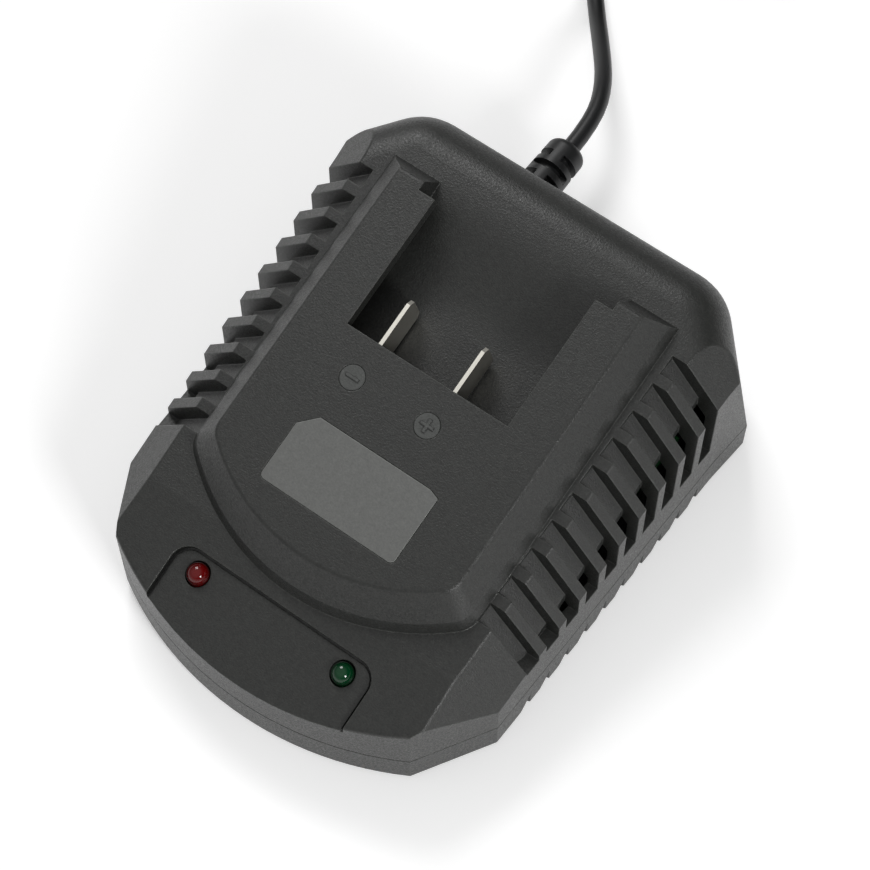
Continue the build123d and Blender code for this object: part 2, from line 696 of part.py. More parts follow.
# places on the board: across the middle, and ahead of its rear edge or of the next part
transformer_from_rear, bulk_from_rear, film_from_rear = 17.0, 27.0, 25.0
heat_sink_from_rear, fuse_from_rear = 10.5, 13.0
bulk_to_choke, choke_to_rectifier = 16.0, 12.0
transformer_x, transformer_y = 4.0, board_rear - transformer_from_rear
core_width, core_depth = 25.0, 13.0
core_leg = 3.6
core_lift = 1.5                 # the core sits this far above the board
core_leg_radius = 3.4
winding_radius = 8.6
bobbin_rail_depth = 4.0
bobbin_gap, bobbin_fit = 0.2, 0.05      # beside the core's frame, and round its centre leg
bobbin_pin_radius, bobbin_pin_pitch = 0.4, 5.0
component_gap = 0.9             # least room above a tall component
pin_reach = 1.2                 # pins stand out below the board


def core_height():
    """Height of the ferrite core, which fills the room below the bay."""
    return headroom(transformer_y - core_depth / 2) - core_lift - component_gap


def make_transformer_core():
    """Ferrite core: a closed frame with a centre leg."""
    height = core_height()
    frame = block(core_width, core_depth, height, transformer_x, transformer_y, core_lift)
    opening = height - 2 * core_leg
    window = block(core_width - 2 * core_leg, core_depth + past, opening, transformer_x, transformer_y,
                   core_lift + core_leg)
    low = board_top + core_lift + core_leg
    leg = rod(core_leg_radius, low, low + opening, transformer_x, behind_nose(transformer_y))
    return frame - window + leg


def make_transformer_winding():
    """Bobbin with its taped winding and pins."""
    low = board_top + core_lift + core_leg
    high = low + core_height() - 2 * core_leg
    y = behind_nose(transformer_y)
    coil = rod(winding_radius, low, high, transformer_x, y)
    coil -= rod(core_leg_radius + bobbin_fit, low - past, high + past, transformer_x, y)
    rail_out = core_depth / 2 + bobbin_rail_depth / 2 + bobbin_gap
    for side in (-1, 1):
        coil += block(core_width - 2 * (core_leg + bobbin_gap), bobbin_rail_depth,
                      core_lift + core_leg + pin_reach, transformer_x, transformer_y + side * rail_out)
        for pin in (-1, 0, 1):
            coil += rod(bobbin_pin_radius, board_bottom - pin_reach, board_top + 0.5,
                        transformer_x + pin * bobbin_pin_pitch, y + side * rail_out)
    return coil


bulk_x, bulk_y, bulk_radius = -21.0, board_rear - bulk_from_rear, 8.0


def make_bulk_capacitor():
    """Mains smoothing capacitor."""
    can = standing(bulk_radius, headroom(bulk_y - bulk_radius) - component_gap, bulk_x, bulk_y)
    return fillet(can.edges().filter_by(GeomType.CIRCLE), 0.8)


output_x, output_front, output_rear, output_radius = 31.0, 58.0, 68.0, 4.0


def make_output_capacitors():
    """Two output capacitors."""
    height = headroom(output_front - output_radius) - component_gap
    cans = [fillet(standing(output_radius, height, output_x, y).edges().filter_by(GeomType.CIRCLE), 0.5)
            for y in (output_front, output_rear)]
    return Compound(children=cans)


choke_x, choke_y = -30.0, bulk_y - bulk_to_choke
choke_radius, choke_wire_radius = 5.6, 2.6
choke_base, choke_base_height = 14.0, 1.2


def make_mains_choke():
    """Common-mode choke: a wound ring on a base."""
    base = block(choke_base, choke_base, choke_base_height, choke_x, choke_y)
    middle = board_top + choke_base_height + choke_wire_radius - overlap
    return Pos(choke_x, behind_nose(choke_y), middle) * Torus(choke_radius, choke_wire_radius) + base


film_x, film_y = -35.0, board_rear - film_from_rear
film_width, film_depth, film_height = 6.5, 15.0, 12.0


def make_film_capacitor():
    """Boxed suppression capacitor."""
    return fillet(block(film_width, film_depth, film_height, film_x, film_y).edges().filter_by(Axis.Z), 0.6)


rectifier_x, rectifier_y = -20.0, choke_y - choke_to_rectifier
rectifier_width, rectifier_depth, rectifier_height = 15.0, 4.0, 9.0
rectifier_lift, rectifier_pin_pitch, rectifier_pin_radius = 2.0, 3.8, 0.5


def make_bridge_rectifier():
    """Rectifier block on four legs."""
    body = block(rectifier_width, rectifier_depth, rectifier_height, rectifier_x, rectifier_y, rectifier_lift)
    for index in range(4):
        body += rod(rectifier_pin_radius, board_bottom - pin_reach, board_top + rectifier_lift + 0.2,
                    rectifier_x + (index - 1.5) * rectifier_pin_pitch, behind_nose(rectifier_y))
    return body


heat_sink_y = board_rear - heat_sink_from_rear
heat_sink_in = 16.0             # from the board's side edge
heat_sink_width, heat_sink_plate = 17.0, 2.0
heat_sink_gap, tab_gap = 5.6, 2.4       # room above the heat sink and above the transistor's tab
heat_sink_fins, fin_thickness, fin_depth = 5, 1.2, 6.0


def make_heat_sink():
    """Finned plate that stands along the rear of the board."""
    height = headroom(heat_sink_y - heat_sink_plate / 2) - heat_sink_gap
    x = board_half_width() - heat_sink_in
    plate = block(heat_sink_width, heat_sink_plate, height, x, heat_sink_y)
    for index in range(heat_sink_fins):
        across = (index / (heat_sink_fins - 1) - 0.5) * (heat_sink_width - fin_thickness)
        plate += block(fin_thickness, fin_depth, height, x + across,
                       heat_sink_y + (heat_sink_plate + fin_depth) / 2 - overlap)
    return plate


transistor_width, transistor_depth, transistor_height = 10.0, 4.4, 9.0
tab_thickness = 1.2
transistor_lift = 4.0
transistor_leg_width, transistor_leg_depth, transistor_pitch = 0.8, 0.6, 2.54


def make_switching_transistor():
    """Power transistor with its tab against the heat sink."""
    front = heat_sink_y - heat_sink_plate / 2
    tab_height = headroom(front - transistor_depth) - transistor_lift - tab_gap
    x = board_half_width() - heat_sink_in
    body = block(transistor_width, transistor_depth, transistor_height, x, front - transistor_depth / 2,
                 transistor_lift)
    body += block(transistor_width, tab_thickness, tab_height, x, front - tab_thickness / 2, transistor_lift)
    below = board_thickness + pin_reach
    for leg in (-1, 0, 1):
        body += block(transistor_leg_width, transistor_leg_depth, transistor_lift + below + 0.2,
                      x + leg * transistor_pitch, front - transistor_depth / 2 - slip_gap, -below)
    return body


fuse_x, fuse_y = -24.0, board_rear - fuse_from_rear
fuse_radius, fuse_length, fuse_axis_height = 2.5, 20.0, 4.2
fuse_clip_width, fuse_clip_depth, fuse_clip_height, fuse_clip_out = 2.0, 6.4, 4.6, 8.5


def make_fuse():
    """Glass mains fuse in two clips, lying along the board."""
    tube = (Pos(fuse_x, behind_nose(fuse_y), board_top + fuse_axis_height) * Rot(0, 90, 0)
            * Cylinder(fuse_radius, fuse_length))
    for side in (-1, 1):
        tube += block(fuse_clip_width, fuse_clip_depth, fuse_clip_height, fuse_x + side * fuse_clip_out,
                      fuse_y)
    return tube


chip_places = [(0.0, 36.0), (14.0, 40.0), (-10.0, 38.0)]
chip_sizes = [(7.5, 5.3, 1.8), (5.0, 4.0, 1.6), (3.0, 1.6, 1.2)]


def make_control_chips():
    """Charge controller and its regulator."""
    chips = [block(*size, *place) for place, size in zip(chip_places, chip_sizes)]
    return Compound(children=chips)


coupler_x, coupler_y = 12.0, 56.0
coupler_width, coupler_depth, coupler_height = 6.5, 4.6, 3.4
coupler_leads_width, coupler_leads_depth, coupler_leads_height = 7.6, 3.6, 0.4


def make_optocoupler():
    """Isolating coupler between the mains side and the output side."""
    body = block(coupler_width, coupler_depth, coupler_height, coupler_x, coupler_y,
                 coupler_leads_height - overlap)
    return body + block(coupler_leads_width, coupler_leads_depth, coupler_leads_height, coupler_x, coupler_y)


# ================================================================ wires
def wire(points, radius):
    """A wire along straight runs joined by round bends."""
    bends = []
    for before, corner, after in zip(points, points[1:], points[2:]):
        first = Vector(*corner) - Vector(*before)
        second = Vector(*after) - Vector(*corner)
        turn = math.radians(first.get_angle(second))
        bends.append(0.45 * min(first.length, second.length) / math.tan(turn / 2))
    path = FilletPolyline(*points, radius=bends)
    start = Plane(origin=path @ 0, z_dir=path % 0)
    return sweep(start * Circle(radius), path=path), path.length, bends


core_radius = 0.95              # insulated cores of the mains lead
core_spread, core_landing = 1.0, 3.0    # half the distance between the cores, in the lead and on the board
core_rise = 3.4                 # height of the cores above the board
core_bends = (1.8, 4.0, 7.5)    # where the cores bend down, level out and turn to the board
output_lead_radius = 1.2
output_lead_drop = 4.0          # upright stretch at each end
output_lead_right, output_lead_ahead = 3.0, 4.0     # from the blade's tail to the board


def make_mains_wires():
    """Two cores from the lead's end down to the board."""
    wires = []
    start_y = clamp_y - clamp_width
    for side in (-1, 1):
        x, end = lead_x + side * core_spread, lead_x + side * core_landing
        leave, level, down = [start_y - ahead for ahead in core_bends]
        points = [(x, start_y, lead_z), (x, leave, lead_z), (end, level, board_top + core_rise),
                  (end, down, board_top + core_rise), (end, down, board_top)]
        wires.append(wire(points, core_radius)[0])
    return Compound(children=wires)


def make_output_leads():
    """Two leads from the blades' tails down to the board."""
    leads = []
    for x in (negative_x, positive_x):
        tail_middle = blade_front() + blade_tail_width / 2
        top = deck_point(x, tail_middle, -blade_bottom - blade_tail)
        below = deck_point(x, tail_middle, -blade_bottom - blade_tail - output_lead_drop)
        landing = (x + output_lead_right, top[1] - output_lead_ahead, board_top)
        points = [top, below, (landing[0], landing[1], board_top + output_lead_drop), landing]
        leads.append(wire(points, output_lead_radius)[0])
    return Compound(children=leads)


# ================================================================ mains lead outside the housing
lead_exit = (lead_x, rear_y + boot_length, lead_z)
cord_route = [
    lead_exit,
    (-18.7, 94.1, 16.2),
    (-23.2, 105.2, 14.2),
    (-32.6, 118.1, 7.4),
    (-41.2, 129.1, 2.2),
    (-55.0, 146.7, 2.2),
    (-68.6, 163.9, 2.2),
]
coil_outer_turn = coil_radius + coil_pitch * (coil_turns_across - 1) / 2
coil_centre = (cord_route[-1][0] - coil_outer_turn * math.cos(math.radians(coil_entry)),
               cord_route[-1][1] - coil_outer_turn * math.sin(math.radians(coil_entry)))


def make_mains_cord():
    """The lead from the strain relief to its coil."""
    tube, length, bends = wire(cord_route, cord_radius)
    print("cord length %.1f, bend radii %s" % (length, [round(radius, 1) for radius in bends]))
    return tube - coil_ring()


def coil_section(grow=0.0):
    """Section of the bundle of turns."""
    width = coil_turns_across * coil_pitch + 2 * (coil_skin + grow)
    height = coil_turns_high * coil_pitch + 2 * grow
    middle = coil_turns_high * coil_pitch / 2 + coil_lift
    shape = Pos(coil_radius, middle) * RectangleRounded(width, height, coil_edge)
    return Plane.XZ * shape


def coil_ring():
    """The bundle of turns."""
    return Pos(coil_centre[0], coil_centre[1], 0) * revolve(coil_section(), Axis.Z)


def make_coil_tie():
    """Strap round the bundle of turns, flush with its underside."""
    sleeve = extrude(coil_section(tie_thickness), tie_width / 2, both=True)
    sleeve -= extrude(coil_section(), tie_width, both=True)
    strap = Pos(coil_centre[0], coil_centre[1], 0) * Rot(0, 0, tie_angle) * sleeve - coil_ring()
    return strap & box_between((-big, -big, coil_lift), (big, big, big))


def exit_frame(distance):
    """A place this far along the lead after the coil, with +Y along the lead."""
    angle = math.radians(coil_exit)
    x = coil_centre[0] + coil_outer_turn * math.cos(angle)
    y = coil_centre[1] + coil_outer_turn * math.sin(angle)
    return (Pos(x, y, 0)
            * Rot(0, 0, coil_exit + 180) * Pos(0, distance, plug_thickness / 2))


def make_plug_lead():
    """The straight lead from the coil to the plug."""
    lead = exit_frame(plug_lead_length / 2) * Rot(90, 0, 0) * Cylinder(cord_radius, plug_lead_length)
    return lead - coil_ring()


def plug_frame():
    """Where the lead enters the plug, with +Y to its pins."""
    return exit_frame(plug_lead_length)


def make_plug_body():
    """Flat two-pin plug body that narrows to the lead."""
    half = plug_width / 2
    neck = cord_radius + plug_tail_wall
    tail_half = neck + plug_tail_spread
    inner = half - plug_shoulder_in
    outline = [(neck, 0), (tail_half, plug_tail), (inner, plug_tail + plug_shoulder),
               (half, plug_length - plug_shoulder), (half, plug_length)]
    mirrored = [(-x, y) for x, y in reversed(outline)]
    body = extrude(make_face(Polyline(*(outline + mirrored), close=True)), plug_thickness / 2, both=True)
    profile = [(0, neck), (plug_tail, tail_half), (plug_tail + plug_taper, plug_thickness / 2),
               (plug_length, plug_thickness / 2)]
    mirrored = [(y, -z) for y, z in reversed(profile)]
    body &= extrude(Plane.YZ * make_face(Polyline(*(profile + mirrored), close=True)), big / 4, both=True)
    body = fillet(body.edges().filter_by(Axis.Y), plug_edge)
    for side in (-1, 1):
        body -= (Pos(side * plug_pin_spacing / 2, plug_length - plug_pin_seat / 2, 0) * Rot(90, 0, 0)
                 * Cylinder(plug_pin_radius + clamp_gap, plug_pin_seat))
    return plug_frame() * body


def make_plug_pins():
    """Two round pins."""
    pins = []
    for side in (-1, 1):
        middle = plug_length + (plug_pin_length - plug_pin_seat) / 2
        pin = (Pos(side * plug_pin_spacing / 2, middle, 0) * Rot(90, 0, 0)
               * Cylinder(plug_pin_radius, plug_pin_length + plug_pin_seat))
        pins.append(plug_frame() * fillet(pin.edges().filter_by(GeomType.CIRCLE), plug_pin_round))
    return Compound(children=pins)


# ================================================================ label and badges
def make_label():
    """Blank label plate, flush in the deck."""
    return deck * Pos(0, 0, -label_thickness) * extrude(label_face(), label_thickness + label_proud)


def make_badge(x, y, mark):
    """Round badge with a raised polarity mark."""
    disc = Pos(0, 0, -badge_thickness / 2) * Cylinder(badge_radius, badge_thickness)
    disc += Pos(0, 0, mark_height / 2) * Box(mark_length, mark_width, mark_height)
    if mark == "plus":
        disc += Pos(0, 0, mark_height / 2) * Box(mark_width, mark_length, mark_height)
    return deck * Pos(x, y, 0) * disc


def make_feet():
    """Four round rubber feet."""
    feet = []
    for x, y in foot_places():
        foot = rod(foot_radius, 0, foot_height + foot_pocket, x, y)
        feet.append(chamfer(foot.edges().filter_by(GeomType.CIRCLE).sort_by(Axis.Z)[0], foot_edge))
    return Compound(children=feet)


def screws(places, seat, core, length, head_radius, head_height, up):
    """A group of like screws."""
    return Compound(children=[pan_screw(x, y, seat, core, length, head_radius, head_height, up)
                              for x, y in places])


def clamp_screw_places():
    """Plan positions of the two clamp screws."""
    return [(lead_x + side * clamp_screw_out, clamp_y) for side in (-1, 1)]


def main():
    """Build every node and write it."""
    nodes = {
        "upper_housing": make_upper_housing(),
        "lower_housing": make_lower_housing(),
        "label_plate": make_label(),
        "minus_badge": make_badge(*badge_places()[0]),
        "plus_badge": make_badge(*badge_places()[1]),
        "red_led": make_led(-1),
        "green_led": make_led(1),
        "terminal_block": make_terminal_block(),
        "negative_terminal": make_blade(negative_x),
        "positive_terminal": make_blade(positive_x),
        "circuit_board": make_board(),
        "transformer_core": make_transformer_core(),
        "transformer_winding": make_transformer_winding(),
        "bulk_capacitor": make_bulk_capacitor(),
        "output_capacitors": make_output_capacitors(),
        "mains_choke": make_mains_choke(),
        "film_capacitor": make_film_capacitor(),
        "bridge_rectifier": make_bridge_rectifier(),
        "heat_sink": make_heat_sink(),
        "switching_transistor": make_switching_transistor(),
        "optocoupler": make_optocoupler(),
        "control_chips": make_control_chips(),
        "mains_fuse": make_fuse(),
        "mains_wires": make_mains_wires(),
        "output_leads": make_output_leads(),
        "board_screws": screws(board_screw_places(), board_top, screw_core, board_screw_length,
                               screw_head_radius, screw_head_height, 1),
        "housing_screws": screws(boss_places(), screw_seat, housing_screw_radius, housing_screw_length,
                                 housing_head_radius, housing_head_height, -1),
        "clamp_screws": screws(clamp_screw_places(), clamp_seat + clamp_thickness, screw_core,
                               board_screw_length, screw_head_radius, screw_head_height, 1),
        "cord_clamp": make_cord_clamp(),
        "rubber_feet": make_feet(),
        "strain_relief": make_strain_relief(),
        "cord_tail": make_cord_tail(),
        "mains_cord": make_mains_cord(),
        "cord_coil": coil_ring(),
        "coil_tie": make_coil_tie(),
        "plug_lead": make_plug_lead(),
        "plug_body": make_plug_body(),
        "plug_pins": make_plug_pins(),
    }
    os.makedirs("parts", exist_ok=True)
    for name, solid in nodes.items():
        solid.label = name
        export_step(solid, os.path.join("parts", name + ".step"))
        print(name, len(solid.solids()), round(solid.volume, 1))


if __name__ == "__main__":
    main()
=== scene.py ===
"""Looks of a slide-on battery charger: moulded housing, indicators, contacts, mains lead and studio."""

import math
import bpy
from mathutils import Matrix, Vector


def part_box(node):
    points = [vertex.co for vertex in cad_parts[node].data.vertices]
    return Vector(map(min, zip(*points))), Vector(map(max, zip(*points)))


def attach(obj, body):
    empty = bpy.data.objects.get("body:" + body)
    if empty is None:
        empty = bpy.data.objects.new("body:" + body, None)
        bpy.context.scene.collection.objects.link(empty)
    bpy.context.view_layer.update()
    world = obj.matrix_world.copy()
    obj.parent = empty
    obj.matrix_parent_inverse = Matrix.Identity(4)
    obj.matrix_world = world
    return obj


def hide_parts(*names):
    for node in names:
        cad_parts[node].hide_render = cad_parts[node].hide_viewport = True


bl_info = {
    "name": "Battery charger finish",
    "version": (1, 0, 0),
    "blender": (4, 5, 0),
    "location": "View3D > Sidebar > Charger",
    "description": "Finishes a wedge-shaped battery charger and sets it in a plain studio",
    "category": "Object",
}

import bmesh
import bpy
from bpy.props import FloatProperty, FloatVectorProperty, IntProperty, PointerProperty
from mathutils import Matrix, Vector

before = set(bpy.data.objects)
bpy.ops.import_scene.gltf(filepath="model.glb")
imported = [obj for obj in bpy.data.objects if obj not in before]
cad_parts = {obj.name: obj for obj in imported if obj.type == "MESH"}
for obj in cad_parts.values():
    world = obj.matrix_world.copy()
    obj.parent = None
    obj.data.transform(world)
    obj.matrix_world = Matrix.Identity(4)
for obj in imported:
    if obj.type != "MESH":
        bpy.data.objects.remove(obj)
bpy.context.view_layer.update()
MM = 0.001
WHITE = (1.0, 1.0, 1.0, 1.0)


# ---------------------------------------------------------------- kinds of setting
def linear(hex_colour):
    """Turns an sRGB hex value into linear red, green, blue and alpha."""
    channels = [int(hex_colour[i:i + 2], 16) / 255 for i in (1, 3, 5)]
    return tuple(c / 12.92 if c <= 0.04045 else ((c + 0.055) / 1.055) ** 2.4 for c in channels) + (1.0,)


def colour(name, hex_default, description):
    """A colour setting, given as a hex value."""
    return FloatVectorProperty(name=name, description=description, default=linear(hex_default),
                               subtype="COLOR", size=4, min=0.0, max=1.0)


def length(name, millimetres, description):
    """A length setting, given in millimetres."""
    return FloatProperty(name=name, description=description, default=millimetres * MM, min=0.0,
                         subtype="DISTANCE", unit="LENGTH")


def angle(name, degrees, description):
    """An angle setting, given in degrees."""
    return FloatProperty(name=name, description=description, default=math.radians(degrees),
                         subtype="ANGLE", unit="ROTATION")


def point(name, millimetres, description):
    """A place setting, given in millimetres."""
    return FloatVectorProperty(name=name, description=description, subtype="TRANSLATION", unit="LENGTH",
                               default=[value * MM for value in millimetres])


def amount(name, default, description, unit="NONE"):
    """A setting of nought or more: a plain number, or one in the given unit."""
    return FloatProperty(name=name, description=description, default=default, min=0.0, unit=unit)


def count(name, default, description, least):
    """A setting that counts."""
    return IntProperty(name=name, description=description, default=default, min=least)


# ---------------------------------------------------------------- settings
class ChargerSizes(bpy.types.PropertyGroup):
    """Sizes of what is modelled or patterned here."""

    # a mould's grain and a roller's lines are finer than this, and are drawn this coarse so that they show
    grain: length("Mould grain", 0.42, "Width of one grain of the spark-eroded mould texture")
    grain_depth: length("Grain depth", 0.1, "Height of the mould texture")
    coarse_grain: length("Coarse grain", 1.1, "Width of the coarser patches of the mould texture")
    rolling_line: length("Rolling line", 0.1667, "Width of one line on rolled metal")
    gloss_patch: length("Gloss patch", 5.56, "Width of a patch of even gloss on smooth plastic")
    lamp_patch: length("Lamp patch", 2.5, "Width of a patch of even gloss on a lamp")
    # reach of the painted shade that darkens inner corners
    painted_shade_reach: length("Corner reach", 1.6, "How far the dark of an inner corner reaches")
    edge_round: length("Edge rounding", 0.35, "Rounding seen on moulded edges")
    cord_width: length("Cord width", 4.2, "Outside diameter of the mains lead")
    coil_radius: length("Coil radius", 25.0, "Middle of the coiled turns")
    coil_pitch: length("Coil pitch", 4.25, "Distance from one turn to the next")
    coil_entry: angle("Coil entry", 218.3, "Where the lead joins the coil")
    coil_exit: angle("Coil exit", 90.0, "Where the lead leaves the coil")
    coil_points: count("Points in a turn", 24, "Points that shape one turn", 12)
    plug_lead: length("Plug lead", 21.0, "Straight lead between coil and plug")
    rib_count: count("Ribs", 5, "Finger ribs on the plug", 1)
    rib_pitch: length("Rib pitch", 2.4, "Distance from one finger rib to the next")
    rib_length: length("Rib length", 11.0, "Length of a finger rib")
    rib_radius: length("Rib radius", 0.8, "Radius of a finger rib's back")
    rib_margin: length("Rib margin", 3.0, "Bare stretch between the last rib and the pin face")


class ChargerColours(bpy.types.PropertyGroup):
    """Colours of the finishes."""

    housing: colour("Housing", "#222321", "Charcoal ABS")
    label: colour("Label", "#5F605E", "Satin label plate")
    badge: colour("Badge", "#414341", "Polarity badge")
    red_lamp: colour("Red lamp", "#5C0203", "Red epoxy")
    green_lamp: colour("Green lamp", "#01361A", "Green epoxy")
    contact: colour("Contacts", "#EFECE2", "Nickel plate")
    cord: colour("Cord", "#101112", "Black PVC")
    rubber: colour("Rubber", "#191919", "Feet")
    board: colour("Board", "#14401F", "Solder mask")
    floor: colour("Floor", "#F4F4F4", "Studio floor")


class StudioSettings(bpy.types.PropertyGroup):
    """Camera, lights and floor."""

    camera_place: point("Camera place", (146.6, -194.9, 509.2), "Where the camera stands")
    azimuth: angle("Azimuth", 36.05, "Turn of the camera round the charger")
    elevation: angle("Elevation", 63.1, "Height angle of the camera")
    lens: amount("Lens", 106.5, "Focal length in millimetres", "CAMERA")
    key: amount("Key light", 4.5, "Power of the soft box above the rear left", "POWER")
    key_size: length("Key size", 400.0, "Side of the key soft box")
    key_place: point("Key place", (-550.0, 400.0, 900.0), "Where the key soft box hangs")
    fill: amount("Fill light", 4.2, "Power of the soft box at the front right", "POWER")
    fill_size: length("Fill size", 220.0, "Side of the fill soft box")
    fill_place: point("Fill place", (700.0, -300.0, 500.0), "Where the fill soft box hangs")
    lean: FloatVectorProperty(name="Lean", description="Way from the floor to the middle of the ceiling",
                              default=(-0.2, -0.3, 1.0), subtype="XYZ")
    wall_light: amount("Wall light", 0.02, "Light from the dark walls")
    ceiling_light: amount("Ceiling light", 0.55, "Light from the bright ceiling")
    # these two are cosines of the angle from the lean, and the backdrop's two of the angle from upright
    wall_top: amount("Wall top", 0.25, "Where the room starts to brighten")
    ceiling_edge: amount("Ceiling edge", 0.9, "Where the ceiling reaches its full light")
    backdrop: amount("Backdrop", 0.55, "Brightness of the low pale backdrop")
    backdrop_top: amount("Backdrop top", 0.3, "Where the backdrop ends")
    backdrop_full: amount("Backdrop full", 0.2, "Where the backdrop starts to fade")
    floor_side: length("Floor side", 6000.0, "Side of the square floor")
    floor_glow: amount("Floor glow", 0.28, "Light that the floor adds to what the camera sees of it")


# ---------------------------------------------------------------- node and object helpers
def feed(tree, node, inputs):
    """Feeds each of these inputs of a node from another node's socket or with a value."""
    for socket, source in inputs.items():
        if isinstance(source, bpy.types.NodeSocket):
            tree.links.new(source, node.inputs[socket])
        else:
            node.inputs[socket].default_value = source


def add(tree, kind, inputs=None, **settings):
    """Adds a node with these settings and inputs."""
    node = tree.nodes.new(kind)
    for key, value in settings.items():
        setattr(node, key, value)
    feed(tree, node, inputs or {})
    return node


def new_material(name):
    """An empty material, its node tree and its surface shader."""
    material = bpy.data.materials.new(name)
    material.use_nodes = True
    tree = material.node_tree
    tree.nodes.clear()
    shader = add(tree, "ShaderNodeBsdfPrincipled")
    add(tree, "ShaderNodeOutputMaterial", {"Surface": shader.outputs["BSDF"]})
    return material, tree, shader


def paint(material, *nodes):
    """Gives carried-over nodes their finish."""
    for node in nodes:
        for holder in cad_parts[node].material_slots:
            holder.material = material


def linked(name, data):
    """A new object in the scene that holds this mesh, curve, light or camera."""
    thing = bpy.data.objects.new(name, data)
    bpy.context.scene.collection.objects.link(thing)
    return thing


# ---------------------------------------------------------------- materials
ABS_IOR = 1.53
EPOXY_IOR = 1.45
PAINTED_SHADE_SHARE = 0.35             # painted shade: an inner corner keeps this share of its colour
PAINTED_HIGHLIGHT_TURN = 0.9                 # cosine between a face and its rounded edge where the painted edge highlight is strongest
SKIN_WAVE = 0.02 * MM           # height of the slow waves in a smooth moulding's skin
ROLLING_STRETCH = 0.06          # rolling draws a line out along Y by the inverse of this
ROLLING_DEPTH = 0.01 * MM       # depth of a rolling line
LINE_SMOOTHER, LINE_ROUGHER = 0.08, 0.1     # how far a line's roughness leaves that of its metal
LAMP_CLEAR, LAMP_HAZY = 0.05, 0.12          # roughness of the clearest and haziest patch of a lamp
LAMP_RIM = 0.8                  # how far a lamp's skin turns from the eye where its painted rim shade is darkest
LAMP_RIM_SHADE = 0.06           # painted shade: the rim of a lamp keeps this share of its colour


def moulded_abs(name, tint, sizes, roughness=0.43, bump=1.0, speckle=1.0, painted_edge_light=2.6):
    """ABS, injection-moulded in a spark-eroded tool: matt and pitted, with painted shade in inner corners and
    painted highlights on rounded edges.
    """
    material, tree, shader = new_material(name)
    place = add(tree, "ShaderNodeTexCoord").outputs["Object"]
    grain = add(tree, "ShaderNodeTexNoise", {
        "Vector": place, "Scale": 1 / sizes.grain, "Detail": 3.0, "Roughness": 0.6}).outputs["Fac"]
    cloud = add(tree, "ShaderNodeTexNoise", {
        "Vector": place, "Scale": 1 / sizes.coarse_grain, "Detail": 2.0}).outputs["Fac"]
    patches = add(tree, "ShaderNodeMapRange", {
        "Value": cloud, "To Min": 1.0 - speckle / 2, "To Max": 1.0 + speckle / 2})
    flecks = add(tree, "ShaderNodeMapRange", {
        "Value": grain, "To Min": 1.0 - speckle, "To Max": 1.0 + speckle})
    # painted shade: ambient occlusion darkens the colour in inner corners and creases, where shade falls
    corner = add(tree, "ShaderNodeAmbientOcclusion", {"Distance": sizes.painted_shade_reach}, samples=4)
    painted_corner_shade = add(tree, "ShaderNodeMapRange", {"Value": corner.outputs["AO"], "To Min": PAINTED_SHADE_SHARE})
    spotted = add(tree, "ShaderNodeMath", {0: patches.outputs[0], 1: flecks.outputs[0]}, operation="MULTIPLY")
    shaded = add(tree, "ShaderNodeMath", {0: spotted.outputs[0], 1: painted_corner_shade.outputs[0]}, operation="MULTIPLY")
    # painted highlight: the colour is lightened along rounded edges, where the bevelled normal turns from the
    # face, for the light an edge catches; a negative painted edge light darkens the edges instead
    edge = add(tree, "ShaderNodeBevel", {"Radius": sizes.edge_round}, samples=6).outputs[0]
    face = add(tree, "ShaderNodeNewGeometry").outputs["Normal"]
    turned = add(tree, "ShaderNodeVectorMath", {0: edge, 1: face}, operation="DOT_PRODUCT").outputs["Value"]
    painted_edge_highlight = add(tree, "ShaderNodeMapRange", {
        "Value": turned, "From Min": 1.0, "From Max": PAINTED_HIGHLIGHT_TURN, "To Min": 1.0, "To Max": 1.0 + painted_edge_light},
        interpolation_type="SMOOTHSTEP")
    painted_light_and_shade = add(tree, "ShaderNodeMath", {0: shaded.outputs[0], 1: painted_edge_highlight.outputs[0]}, operation="MULTIPLY")
    tinted = add(tree, "ShaderNodeVectorMath", {0: painted_light_and_shade.outputs[0], 1: tint[:3]}, operation="MULTIPLY")
    # a pit is duller than the grain round it
    rough = add(tree, "ShaderNodeMapRange", {
        "Value": grain, "To Min": roughness + speckle / 3, "To Max": roughness - speckle / 3})
    pits = add(tree, "ShaderNodeBump", {
        "Height": grain, "Normal": edge, "Strength": bump, "Distance": sizes.grain_depth})
    feed(tree, shader, {"Base Color": tinted.outputs[0], "Roughness": rough.outputs[0],
                        "Normal": pits.outputs[0], "IOR": ABS_IOR})
    return material


def smooth_plastic(name, tint, sizes, roughness=0.3, wander=0.04):
    """Smooth moulded plastic, rubber or PVC: an even satin whose gloss wanders slowly."""
    material, tree, shader = new_material(name)
    place = add(tree, "ShaderNodeTexCoord").outputs["Object"]
    haze = add(tree, "ShaderNodeTexNoise", {
        "Vector": place, "Scale": 1 / sizes.gloss_patch, "Detail": 4.0}).outputs["Fac"]
    rough = add(tree, "ShaderNodeMapRange", {
        "Value": haze, "To Min": roughness - wander, "To Max": roughness + wander})
    edge = add(tree, "ShaderNodeBevel", {"Radius": sizes.edge_round / 2}, samples=4)
    skin = add(tree, "ShaderNodeBump", {
        "Height": haze, "Normal": edge.outputs[0], "Strength": 0.3, "Distance": SKIN_WAVE})
    feed(tree, shader, {"Base Color": tint, "Roughness": rough.outputs[0], "Normal": skin.outputs[0]})
    return material


